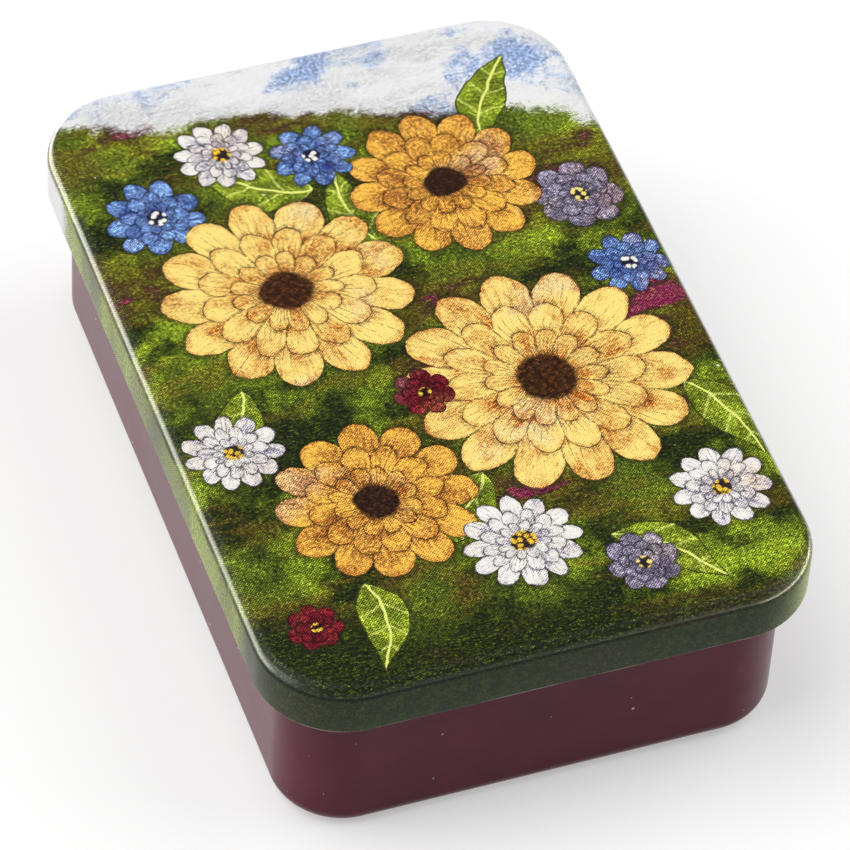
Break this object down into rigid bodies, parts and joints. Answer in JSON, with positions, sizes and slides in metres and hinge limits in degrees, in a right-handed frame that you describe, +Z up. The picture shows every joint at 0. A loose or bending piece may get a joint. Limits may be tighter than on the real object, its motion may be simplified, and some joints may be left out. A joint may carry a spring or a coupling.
{
  "type": "pocket tin",
  "caption": "Small rectangular tinplate box with rounded corners, a rolled rim and a printed slip-on lid that lifts straight off, for papers and keepsakes.",
  "frame": {"origin": "under the middle of the base, on the surface that the tin stands on", "axes": "+Y along the tin's length, +X across its width, +Z up, the way the lid lifts off"},
  "size_m": [0.05, 0.075, 0.0205],
  "materials": {
    "plum_enamel": "satin stoved enamel outside, bare tinplate inside",
    "printed_tin": "satin printed tinplate outside, bare tinplate inside"
  },
  "bodies": {
    "base": {"base": "plum_enamel"},
    "lid": {"lid": "printed_tin"}
  },
  "joints": [
    {"name": "lid_lift", "type": "slide", "parent": "base", "child": "lid", "axis": [0, 0, 1], "range_m": [0, 0.03]}
  ]
}
